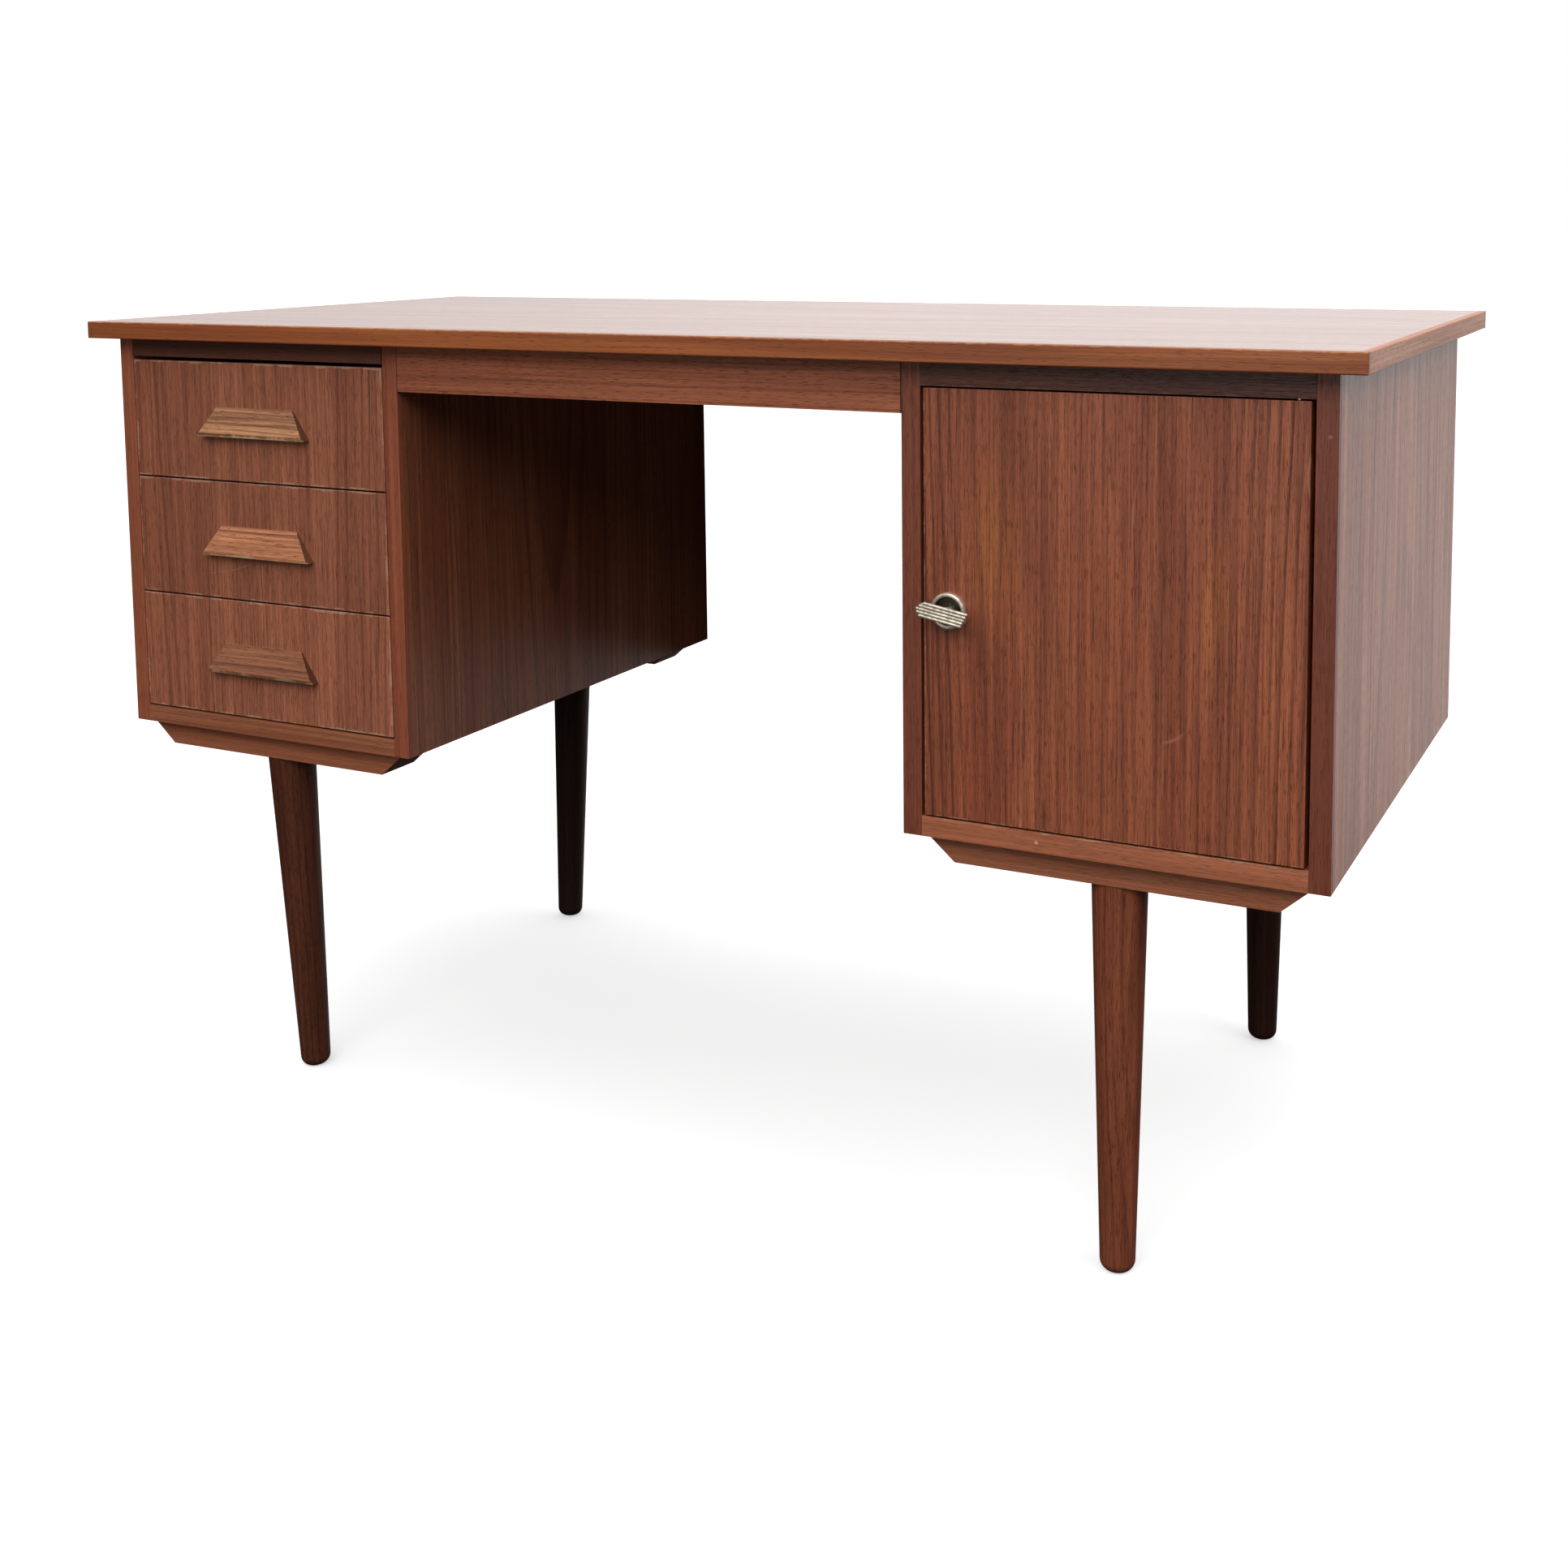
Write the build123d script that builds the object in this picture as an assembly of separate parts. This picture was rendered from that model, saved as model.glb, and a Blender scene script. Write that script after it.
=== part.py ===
from build123d import *
import math
import os

# Kneehole writing desk in teak: a thin desktop on two pedestals, three drawers on the left,
# one locking cupboard on the right, and four turned legs on battens.
# Millimetres, +Z up, X along the desk, -Y towards the sitter.
# The origin is on the floor, under the middle of the desktop.

# ---- driving dimensions -------------------------------------------------------------------
DESK_WIDTH = 1200.0
DESK_DEPTH = 565.0
DESK_HEIGHT = 726.0
TOP_THICKNESS = 16.0
TOP_LIPPING = 6.0            # solid wood strip round the veneered board
TOP_EDGE_ROUND = 1.2

SIDE_OVERHANG = 22.5         # desktop beyond the pedestals, left and right
FRONT_OVERHANG = 18.0        # desktop beyond the pedestals, front and back
PEDESTAL_WIDTH = 333.0
PEDESTAL_HEIGHT = 373.0
BOARD = 16.0                 # side panels, bottoms, rails, drawer fronts and door
SIDE_LIPPING = 8.0
TOP_RAIL_HEIGHT = 19.0
REAR_RAIL_HEIGHT = 30.0
APRON_HEIGHT = 41.0
BACK_THICKNESS = 5.0
BACK_INSET = 8.0
EDGE_ROUND = 0.6

BATTEN_HEIGHT = 22.0
BATTEN_DEPTH = 45.0
BATTEN_TOP_LENGTH = 306.0
BATTEN_BOTTOM_LENGTH = 255.0
LEG_INSET = 34.0             # leg axis in from the front or back of the pedestal
LEG_TOP_DIAMETER = 43.7
LEG_FOOT_DIAMETER = 27.5
FOOT_ROUND = 9.0
LEG_TRIM = 0.4               # taken off the tip so that each foot stands on a flat
LEFT_LEG_TOE_IN = 3.0        # degrees: the left pair leans towards each other
LEFT_LEG_SHIFT = 3.0         # and stands, with its batten, this much further out
LEG_BOLT_DIAMETER = 8.0
LEG_BOLT_LENGTH = 60.0
LEG_BOLT_END_GAP = 2.0

DRAWERS = ("lower", "middle", "upper")
FRONT_GAP = 1.5              # shadow gap above and below each front
TOP_DRAWER_GAP = 3.5         # the gap between the upper drawer and the left rail is wider
FRONT_SIDE_GAP = 1.0
DRAWER_BOX_LENGTH = 440.0
DRAWER_BOX_GAP = 2.0         # between a drawer's side and the pedestal
DRAWER_BOX_WALL = 11.0
DRAWER_BOX_HEIGHT = 86.0
DRAWER_BOX_LIFT = 10.0       # underside of the drawer's sides above the front's lower edge
DRAWER_BACK_DROP = 8.0
DRAWER_BOTTOM_THICKNESS = 4.0
DRAWER_BOTTOM_LIFT = 7.0
DRAWER_BOTTOM_GROOVE = 5.0
RUNNER_HEIGHT = 11.0
RUNNER_CLEARANCE = 0.5
RUNNER_GROOVE_DEPTH = 6.0
RUNNER_FRONT_GAP = 4.0
RUNNER_BACK_GAP = 24.0

HANDLE_TOP_LENGTH = 92.0
HANDLE_BOTTOM_LENGTH = 128.0
HANDLE_HEIGHT = 27.0
HANDLE_TOP_DEPTH = 1.2
HANDLE_BOTTOM_DEPTH = 9.0
HANDLE_LIP_HEIGHT = 3.0
HANDLE_LIP_SETBACK = 0.8
COVE_LENGTH = 100.0
COVE_DEPTH = 5.5
COVE_HEIGHT = 10.0

DOOR_FREE_GAP = 2.5
DOOR_HINGE_GAP = 3.2
HINGE_FROM_EDGE = 10.0       # pivot axis in from the door's edge
HINGE_PIN_DIAMETER = 6.0
HINGE_PIN_IN_DOOR = 20.0
HINGE_PIN_IN_BUSH = 8.0
BUSH_DIAMETER = 10.0
BUSH_LENGTH = 10.0
RUNNING_CLEARANCE = 0.05     # radial, in every running fit
DOOR_STOP_SIZE = (30.0, 10.0, 14.0)
DOOR_STOP_FROM_SIDE = 10.0
DOOR_STOP_GAP = 0.5

SHELF_THICKNESS = 14.0
SHELF_UNDERSIDE = 500.0
SHELF_SIDE_GAP = 1.0
SHELF_FRONT_SETBACK = 36.0   # behind the pedestal's front, clear of the lock
SHELF_BACK_GAP = 2.0
SHELF_PIN_DIAMETER = 5.0
SHELF_PIN_DEPTH = 8.0
SHELF_PIN_REACH = 9.0
SHELF_PIN_FROM_EDGE = 45.0

LOCK_X = 284.0
LOCK_Z = 518.0
RING_DIAMETER = 29.0
RING_BORE = 22.0
RING_HEIGHT = 4.0
RING_FLOOR = 1.0
PLUG_DIAMETER = 14.0
PLUG_DOOR_HOLE = 15.0
KEY_SHANK_DIAMETER = 6.0
KEY_SHANK_IN_PLUG = 9.0
KEY_BOW_LENGTH = 43.0
KEY_BOW_WIDTH = 12.5
KEY_BOW_THICKNESS = 6.0
KEY_BOW_GROOVES = 4
KEY_BOW_GROOVE_DEPTH = 1.0
KEY_BOW_FRONT = 17.0         # front of the bow, ahead of the door's face
KEY_TILT = 10.0              # degrees: the bow's left end stands a little high

LOCK_CASE_LENGTH = 44.0
LOCK_CASE_HEIGHT = 46.0
LOCK_CASE_DEPTH = 12.0
LOCK_CASE_WALL = 1.2
LOCK_CASE_EDGE_GAP = 0.5
LOCK_FLANGE = 9.0
LOCK_SCREW_DIAMETER = 3.0
LOCK_SCREW_HEAD = 6.0
LOCK_SCREW_HEAD_HEIGHT = 1.6
LOCK_SCREW_IN_DOOR = 9.0
LOCK_SCREW_INSET = 8.0

BOLT_THROW = 8.0
BOLT_THICKNESS = 6.0
BOLT_TONGUE_HEIGHT = 11.0
BOLT_TONGUE_LENGTH = 14.0
BOLT_PLATE_HEIGHT = 26.0
BOLT_PLATE_LENGTH = 24.0
CAM_PIN_DIAMETER = 3.0
CAM_SLOT_CLEARANCE = 0.5
STRIKE_HEIGHT = 40.0
STRIKE_WIDTH = 14.0
STRIKE_THICKNESS = 1.2
STRIKE_CLEARANCE = 1.0
STRIKE_POCKET_DEPTH = 9.0

BATTEN_SCREW_DIAMETER = 4.0
BATTEN_SCREW_HEAD = 8.0
BATTEN_SCREW_LENGTH = 32.0
BATTEN_SCREW_SPACING = 200.0

# ---- places worked out from them ----------------------------------------------------------
UNDER_TOP = DESK_HEIGHT - TOP_THICKNESS
FLOOR_OF_PEDESTAL = UNDER_TOP - PEDESTAL_HEIGHT
INSIDE_BOTTOM = FLOOR_OF_PEDESTAL + BOARD
UNDER_RAIL = UNDER_TOP - TOP_RAIL_HEIGHT
FRONT = -DESK_DEPTH / 2 + FRONT_OVERHANG
BACK = -FRONT
BEHIND_FRONTS = FRONT + BOARD
BACK_PANEL_FACE = BACK - BACK_INSET - BACK_THICKNESS
OUTER = DESK_WIDTH / 2 - SIDE_OVERHANG
INNER = OUTER - PEDESTAL_WIDTH
OPENING_INNER = INNER + BOARD
OPENING_OUTER = OUTER - BOARD
PEDESTAL_MIDDLE = (OUTER + INNER) / 2
BATTEN_UNDERSIDE = FLOOR_OF_PEDESTAL - BATTEN_HEIGHT
LEG_Y = BACK - LEG_INSET

OPENING_HEIGHT = UNDER_RAIL - INSIDE_BOTTOM
DRAWER_FRONT_HEIGHT = (OPENING_HEIGHT - FRONT_GAP * (len(DRAWERS) + 1)) / len(DRAWERS)
DRAWER_PITCH = DRAWER_FRONT_HEIGHT + FRONT_GAP
DRAWER_BOX_OUTER = OPENING_OUTER - DRAWER_BOX_GAP
DRAWER_BOX_INNER = OPENING_INNER + DRAWER_BOX_GAP
RUNNER_REACH = DRAWER_BOX_GAP + RUNNER_GROOVE_DEPTH - RUNNER_CLEARANCE
GROOVE_HEIGHT = RUNNER_HEIGHT + 2 * RUNNER_CLEARANCE

DOOR_LEFT = OPENING_INNER + DOOR_FREE_GAP
DOOR_RIGHT = OPENING_OUTER - DOOR_HINGE_GAP
DOOR_BOTTOM = INSIDE_BOTTOM + FRONT_GAP
DOOR_TOP = UNDER_RAIL - FRONT_GAP
HINGE_X = DOOR_RIGHT - HINGE_FROM_EDGE
HINGE_Y = FRONT + BOARD / 2

CASE_LEFT = DOOR_LEFT + LOCK_CASE_EDGE_GAP
BOLT_MIDDLE_Y = BEHIND_FRONTS + LOCK_CASE_DEPTH / 2
PLUG_END_Y = BOLT_MIDDLE_Y - BOLT_THICKNESS / 2 - CAM_SLOT_CLEARANCE
CAM_RADIUS = BOLT_THROW / math.sqrt(2)   # pin goes from 45 degrees one side to 45 the other


def block(x0, x1, y0, y1, z0, z1):
    """Box between two corners, given in any order along X."""
    size = (abs(x1 - x0), y1 - y0, z1 - z0)
    return Pos((x0 + x1) / 2, (y0 + y1) / 2, (z0 + z1) / 2) * Box(*size)


def softened(shape, radius=EDGE_ROUND):
    """The same solid with every edge rounded a little."""
    return fillet(shape.edges(), radius)


def rod_along_y(x, z, diameter, y0, y1):
    """Round rod on an axis along Y."""
    rod = Rot(90, 0, 0) * Cylinder(diameter / 2, y1 - y0)
    return Pos(x, (y0 + y1) / 2, z) * rod


def rod_along_z(x, y, diameter, z0, z1):
    """Round rod on an axis along Z."""
    return Pos(x, y, (z0 + z1) / 2) * Cylinder(diameter / 2, z1 - z0)


def rod_along_x(y, z, diameter, x0, x1):
    """Round rod on an axis along X."""
    rod = Rot(0, 90, 0) * Cylinder(diameter / 2, abs(x1 - x0))
    return Pos((x0 + x1) / 2, y, z) * rod


def write(name, solids):
    """Write one node: a single solid, or a group of separate ones."""
    if isinstance(solids, list):
        solids = Compound(children=solids)
    export_step(solids, f"parts/{name}.step")


# ---- desktop ------------------------------------------------------------------------------
def desktop():
    half_w, half_d = DESK_WIDTH / 2, DESK_DEPTH / 2
    board_w, board_d = half_w - TOP_LIPPING, half_d - TOP_LIPPING
    z0, z1 = UNDER_TOP, DESK_HEIGHT
    write("desktop_panel", block(-board_w, board_w, -board_d, board_d, z0, z1))
    long_strip = block(-half_w, half_w, -half_d, -board_d, z0, z1)
    outer_edges = long_strip.edges().filter_by(Axis.X).group_by(Axis.Y)[0]
    corners = long_strip.edges().filter_by(Axis.Z).group_by(Axis.Y)[0]
    long_strip = fillet(outer_edges + corners, TOP_EDGE_ROUND)
    write("desktop_front_lipping", long_strip)
    write("desktop_rear_lipping", Rot(0, 0, 180) * long_strip)
    end_strip = block(board_w, half_w, -board_d, board_d, z0, z1)
    end_strip = fillet(end_strip.edges().filter_by(Axis.Y).group_by(Axis.X)[-1], TOP_EDGE_ROUND)
    write("desktop_end_lippings", [end_strip, Rot(0, 0, 180) * end_strip])


# ---- pedestal casings ---------------------------------------------------------------------
def side_panel(x0, x1):
    return block(x0, x1, FRONT + SIDE_LIPPING, BACK, FLOOR_OF_PEDESTAL, UNDER_TOP)


def side_lipping(x0, x1):
    strip = block(x0, x1, FRONT, FRONT + SIDE_LIPPING, FLOOR_OF_PEDESTAL, UNDER_TOP)
    return fillet(strip.edges().filter_by(Axis.Z).group_by(Axis.Y)[0], EDGE_ROUND)


def shelf_pins():
    """Four pins, half in the cupboard's sides and half under the shelf."""
    pins = []
    shelf_front = FRONT + SHELF_FRONT_SETBACK
    shelf_back = BACK_PANEL_FACE - SHELF_BACK_GAP
    z = SHELF_UNDERSIDE - SHELF_PIN_DIAMETER / 2
    for y in (shelf_front + SHELF_PIN_FROM_EDGE, shelf_back - SHELF_PIN_FROM_EDGE):
        for face, inward in ((OPENING_INNER, 1), (OPENING_OUTER, -1)):
            start = face - inward * SHELF_PIN_DEPTH
            end = face + inward * SHELF_PIN_REACH
            pins.append(rod_along_x(y, z, SHELF_PIN_DIAMETER, start, end))
    return pins


def bolt_pocket():
    """Hole for the thrown bolt, in the cupboard's inner side."""
    half_y = BOLT_THICKNESS / 2 + STRIKE_CLEARANCE
    half_z = BOLT_TONGUE_HEIGHT / 2 + STRIKE_CLEARANCE
    return block(OPENING_INNER - STRIKE_POCKET_DEPTH, OPENING_INNER,
                 BOLT_MIDDLE_Y - half_y, BOLT_MIDDLE_Y + half_y,
                 LOCK_Z - half_z, LOCK_Z + half_z)


def strike_recess():
    return block(OPENING_INNER - STRIKE_THICKNESS, OPENING_INNER,
                 BOLT_MIDDLE_Y - STRIKE_WIDTH / 2, BOLT_MIDDLE_Y + STRIKE_WIDTH / 2,
                 LOCK_Z - STRIKE_HEIGHT / 2, LOCK_Z + STRIKE_HEIGHT / 2)


def casings():
    pins = shelf_pins()
    write("left_outer_side", side_panel(-OUTER, -OPENING_OUTER))
    write("left_inner_side", side_panel(-OPENING_INNER, -INNER))
    right_inner = side_panel(INNER, OPENING_INNER) - bolt_pocket() - strike_recess()
    right_outer = side_panel(OPENING_OUTER, OUTER)
    for pin in pins:
        right_inner -= pin
        right_outer -= pin
    write("right_inner_side", right_inner)
    write("right_outer_side", right_outer)
    write("side_front_lippings", [side_lipping(-OUTER, -OPENING_OUTER),
                                  side_lipping(-OPENING_INNER, -INNER),
                                  side_lipping(INNER, OPENING_INNER),
                                  side_lipping(OPENING_OUTER, OUTER)])
    write("strike_plate", strike_recess() - bolt_pocket())
    write("shelf_pins", pins)

    under_left_rail = UNDER_RAIL - FRONT_GAP + TOP_DRAWER_GAP
    for name, x0, x1, rail_z in (("left", -OPENING_OUTER, -OPENING_INNER, under_left_rail),
                                 ("right", OPENING_INNER, OPENING_OUTER, UNDER_RAIL)):
        bottom = block(x0, x1, FRONT, BACK, FLOOR_OF_PEDESTAL, INSIDE_BOTTOM)
        rail = block(x0, x1, FRONT, BEHIND_FRONTS, rail_z, UNDER_TOP)
        if name == "right":
            for bush in hinge_bush_blanks():
                bottom -= bush
                rail -= bush
        write(f"{name}_bottom_panel", bottom)
        write(f"{name}_top_rail", rail)
        write(f"{name}_back_panel", block(x0, x1, BACK_PANEL_FACE, BACK - BACK_INSET,
                                          INSIDE_BOTTOM, UNDER_TOP))

    apron_z = UNDER_TOP - APRON_HEIGHT
    write("kneehole_front_rail", block(-INNER, INNER, FRONT, FRONT + BOARD, apron_z, UNDER_TOP))
    write("kneehole_rear_rail", block(-INNER, INNER, BACK - BOARD, BACK, apron_z, UNDER_TOP))
    rear_rails = [block(side * OPENING_INNER, side * OPENING_OUTER,
                        BACK_PANEL_FACE - BOARD, BACK_PANEL_FACE,
                        UNDER_TOP - REAR_RAIL_HEIGHT, UNDER_TOP) for side in (-1, 1)]
    write("pedestal_rear_rails", rear_rails)


def cupboard_fittings():
    shelf = block(OPENING_INNER + SHELF_SIDE_GAP, OPENING_OUTER - SHELF_SIDE_GAP,
                  FRONT + SHELF_FRONT_SETBACK, BACK_PANEL_FACE - SHELF_BACK_GAP,
                  SHELF_UNDERSIDE, SHELF_UNDERSIDE + SHELF_THICKNESS)
    write("cupboard_shelf", softened(shelf))
    width, depth, height = DOOR_STOP_SIZE
    stop_x = OPENING_INNER + DOOR_STOP_FROM_SIDE
    stop_y = BEHIND_FRONTS + DOOR_STOP_GAP
    stop = block(stop_x, stop_x + width, stop_y, stop_y + depth,
                 UNDER_TOP - height - BOARD, UNDER_TOP)
    write("door_stop", stop)


# ---- battens and legs ---------------------------------------------------------------------
def batten(x, y):
    """Trapezoid bar, longer at the top than at the bottom."""
    half_top, half_bottom = BATTEN_TOP_LENGTH / 2, BATTEN_BOTTOM_LENGTH / 2
    outline = Polyline((x - half_top, FLOOR_OF_PEDESTAL), (x - half_bottom, BATTEN_UNDERSIDE),
                       (x + half_bottom, BATTEN_UNDERSIDE), (x + half_top, FLOOR_OF_PEDESTAL),
                       close=True)
    bar = extrude(Plane.XZ * make_face(outline), BATTEN_DEPTH / 2, both=True)
    bar = Pos(0, y, 0) * bar
    lower_edges = bar.edges().filter_by(Axis.X).group_by(Axis.Z)[0]
    return fillet(lower_edges, EDGE_ROUND)


def leg(x, top_y, toe_in):
    """Turned taper with a rounded foot; toe_in tilts the foot towards +Y, in degrees."""
    top_r, foot_r = LEG_TOP_DIAMETER / 2, LEG_FOOT_DIAMETER / 2
    length = BATTEN_UNDERSIDE
    spare = LEG_TOP_DIAMETER / 2
    widening = (top_r - foot_r) / length
    outline = Polyline((0, 0), (foot_r, 0), (top_r + widening * spare, length + spare),
                       (0, length + spare), close=True)
    turned = revolve(Plane.XZ * make_face(outline), Axis.Z)
    turned = fillet(turned.edges().group_by(Axis.Z)[0], FOOT_ROUND)
    turned = Pos(0, 0, -length) * turned
    turned = Pos(x, top_y, length) * Rot(toe_in, 0, 0) * turned
    turned = Pos(0, 0, -turned.bounding_box().min.Z - LEG_TRIM) * turned
    room = 2 * LEG_TOP_DIAMETER + LEG_BOLT_LENGTH
    return turned & block(x - room, x + room, top_y - room, top_y + room, 0, length)


def leg_bolt(x, top_y, toe_in):
    """Hanger bolt along the leg's axis, half in the leg and the rest in the batten."""
    above = BATTEN_HEIGHT - LEG_BOLT_END_GAP
    rod = Pos(0, 0, above - LEG_BOLT_LENGTH / 2) * Cylinder(LEG_BOLT_DIAMETER / 2, LEG_BOLT_LENGTH)
    return Pos(x, top_y, BATTEN_UNDERSIDE) * Rot(toe_in, 0, 0) * rod


def batten_screw(x, y):
    """Countersunk screw up through a batten into the pedestal's bottom."""
    head_r, shank_r = BATTEN_SCREW_HEAD / 2, BATTEN_SCREW_DIAMETER / 2
    outline = Polyline((0, 0), (head_r, 0), (shank_r, head_r - shank_r),
                       (shank_r, BATTEN_SCREW_LENGTH), (0, BATTEN_SCREW_LENGTH), close=True)
    return Pos(x, y, BATTEN_UNDERSIDE) * revolve(Plane.XZ * make_face(outline), Axis.Z)


def supports():
    bolts, screws = [], []
    for side_name, side in (("left", -1), ("right", 1)):
        x = side * PEDESTAL_MIDDLE
        for end_name, end in (("front", -1), ("rear", 1)):
            leans = side_name == "left"
            top_y = end * (LEG_Y + (LEFT_LEG_SHIFT if leans else 0.0))
            toe_in = -end * (LEFT_LEG_TOE_IN if leans else 0.0)
            write(f"{side_name}_{end_name}_batten", batten(x, top_y))
            write(f"{side_name}_{end_name}_leg", leg(x, top_y, toe_in))
            bolts.append(leg_bolt(x, top_y, toe_in))
            for step in (-1, 1):
                screws.append(batten_screw(x + step * BATTEN_SCREW_SPACING / 2, top_y))
    write("leg_bolts", bolts)
    write("batten_screws", screws)


# ---- drawers ------------------------------------------------------------------------------
def handle(x, z_middle):
    """Wedge-shaped pull, trapezoid from the front, coved underneath for the fingers."""
    z0, z1 = z_middle - HANDLE_HEIGHT / 2, z_middle + HANDLE_HEIGHT / 2
    section = Polyline((FRONT, z0), (FRONT - HANDLE_BOTTOM_DEPTH + HANDLE_LIP_SETBACK, z0),
                       (FRONT - HANDLE_BOTTOM_DEPTH, z0 + HANDLE_LIP_HEIGHT),
                       (FRONT - HANDLE_TOP_DEPTH, z1), (FRONT, z1), close=True)
    wedge = extrude(Plane.YZ * make_face(section), HANDLE_BOTTOM_LENGTH / 2, both=True)
    half_top, half_bottom = HANDLE_TOP_LENGTH / 2, HANDLE_BOTTOM_LENGTH / 2
    face = Polyline((-half_bottom, z0), (half_bottom, z0), (half_top, z1), (-half_top, z1),
                    close=True)
    outline = extrude(Plane.XZ * make_face(face), DESK_DEPTH, both=True)
    cove = Pos(0, FRONT, z0) * scale(Rot(0, 90, 0) * Cylinder(1, COVE_LENGTH),
                                     (1, COVE_DEPTH, COVE_HEIGHT))
    return Pos(x, 0, 0) * (wedge & outline) - Pos(x, 0, 0) * cove


def drawer_side(x_out, x_in, y0, y1, z0, z1):
    """Side with a groove for its runner outside and one for the bottom inside."""
    inward = 1 if x_in > x_out else -1
    side = block(x_out, x_in, y0, y1, z0, z1)
    z_middle = (z0 + z1) / 2
    side -= block(x_out, x_out + inward * RUNNER_GROOVE_DEPTH, y0, y1,
                  z_middle - GROOVE_HEIGHT / 2, z_middle + GROOVE_HEIGHT / 2)
    groove_z = z0 + DRAWER_BOTTOM_LIFT
    side -= block(x_in - inward * DRAWER_BOTTOM_GROOVE, x_in, y0, y1,
                  groove_z, groove_z + DRAWER_BOTTOM_THICKNESS)
    return side


def drawer(name, z_front):
    """One drawer on its runners; returns the two runners."""
    x_left, x_right = -DRAWER_BOX_OUTER, -DRAWER_BOX_INNER
    y0, y1 = BEHIND_FRONTS, BEHIND_FRONTS + DRAWER_BOX_LENGTH
    z0 = z_front + DRAWER_BOX_LIFT
    z1 = z0 + DRAWER_BOX_HEIGHT
    bottom_z = z0 + DRAWER_BOTTOM_LIFT
    bottom_top = bottom_z + DRAWER_BOTTOM_THICKNESS
    wall = DRAWER_BOX_WALL
    bottom = block(x_left + wall - DRAWER_BOTTOM_GROOVE, x_right - wall + DRAWER_BOTTOM_GROOVE,
                   y0 - DRAWER_BOTTOM_GROOVE, y1, bottom_z, bottom_top)
    front = block(-OPENING_OUTER + FRONT_SIDE_GAP, -OPENING_INNER - FRONT_SIDE_GAP,
                  FRONT, BEHIND_FRONTS, z_front, z_front + DRAWER_FRONT_HEIGHT)
    front = fillet(front.edges().group_by(Axis.Y)[0], EDGE_ROUND) - bottom
    write(f"{name}_drawer_front", front)
    write(f"{name}_drawer_left_side", drawer_side(x_left, x_left + wall, y0, y1, z0, z1))
    write(f"{name}_drawer_right_side", drawer_side(x_right, x_right - wall, y0, y1, z0, z1))
    write(f"{name}_drawer_back", block(x_left + wall, x_right - wall, y1 - wall, y1,
                                       bottom_top, z1 - DRAWER_BACK_DROP))
    write(f"{name}_drawer_bottom", bottom)
    write(f"{name}_drawer_handle", handle(-PEDESTAL_MIDDLE, z_front + DRAWER_FRONT_HEIGHT / 2))

    z_middle = (z0 + z1) / 2
    runner_y = (BEHIND_FRONTS + RUNNER_FRONT_GAP, BACK - RUNNER_BACK_GAP)
    runner_z = (z_middle - RUNNER_HEIGHT / 2, z_middle + RUNNER_HEIGHT / 2)
    return [block(-OPENING_OUTER, -OPENING_OUTER + RUNNER_REACH, *runner_y, *runner_z),
            block(-OPENING_INNER, -OPENING_INNER - RUNNER_REACH, *runner_y, *runner_z)]


def drawers():
    runners = []
    for level, name in enumerate(DRAWERS):
        runners += drawer(name, INSIDE_BOTTOM + FRONT_GAP + level * DRAWER_PITCH)
    write("drawer_runners", runners)


# ---- cupboard door, its pivots and its lock -----------------------------------------------
def hinge_bush_blanks():
    """Outer cylinders of the two pivot bushes, below and above the door."""
    return [rod_along_z(HINGE_X, HINGE_Y, BUSH_DIAMETER, INSIDE_BOTTOM - BUSH_LENGTH, INSIDE_BOTTOM),
            rod_along_z(HINGE_X, HINGE_Y, BUSH_DIAMETER, UNDER_RAIL, UNDER_RAIL + BUSH_LENGTH)]


def hinge_pins():
    low = rod_along_z(HINGE_X, HINGE_Y, HINGE_PIN_DIAMETER,
                      INSIDE_BOTTOM - HINGE_PIN_IN_BUSH, DOOR_BOTTOM + HINGE_PIN_IN_DOOR)
    high = rod_along_z(HINGE_X, HINGE_Y, HINGE_PIN_DIAMETER,
                       DOOR_TOP - HINGE_PIN_IN_DOOR, UNDER_RAIL + HINGE_PIN_IN_BUSH)
    return [low, high]


def lock_screw_places():
    """Centres of the four lock screws, as (x, z)."""
    reach = LOCK_CASE_HEIGHT / 2 + LOCK_FLANGE / 2
    xs = (CASE_LEFT + LOCK_SCREW_INSET, CASE_LEFT + LOCK_CASE_LENGTH - LOCK_SCREW_INSET)
    return [(x, LOCK_Z + side * reach) for x in xs for side in (-1, 1)]


def lock_case():
    """Shallow pressed case on the door's back, with flanges above and below."""
    x0, x1 = CASE_LEFT, CASE_LEFT + LOCK_CASE_LENGTH
    y0, y1 = BEHIND_FRONTS, BEHIND_FRONTS + LOCK_CASE_DEPTH
    half = LOCK_CASE_HEIGHT / 2
    wall = LOCK_CASE_WALL
    case = block(x0, x1, y0, y1, LOCK_Z - half, LOCK_Z + half)
    case = fillet(case.edges().filter_by(Axis.Z).group_by(Axis.Y)[-1], wall)
    case += block(x0, x1, y0, y0 + wall, LOCK_Z - half - LOCK_FLANGE, LOCK_Z + half + LOCK_FLANGE)
    case -= block(x0 + wall, x1 - wall, y0 + wall, y1 - wall,
                  LOCK_Z - half + wall, LOCK_Z + half - wall)
    gap = CAM_SLOT_CLEARANCE
    tongue = BOLT_TONGUE_HEIGHT / 2 + gap
    case -= block(x0, x0 + wall, BOLT_MIDDLE_Y - BOLT_THICKNESS / 2 - gap,
                  BOLT_MIDDLE_Y + BOLT_THICKNESS / 2 + gap, LOCK_Z - tongue, LOCK_Z + tongue)
    case -= rod_along_y(LOCK_X, LOCK_Z, PLUG_DOOR_HOLE, y0, y0 + wall)
    for x, z in lock_screw_places():
        case -= rod_along_y(x, z, LOCK_SCREW_DIAMETER, y0, y0 + wall)
    return case


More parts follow.
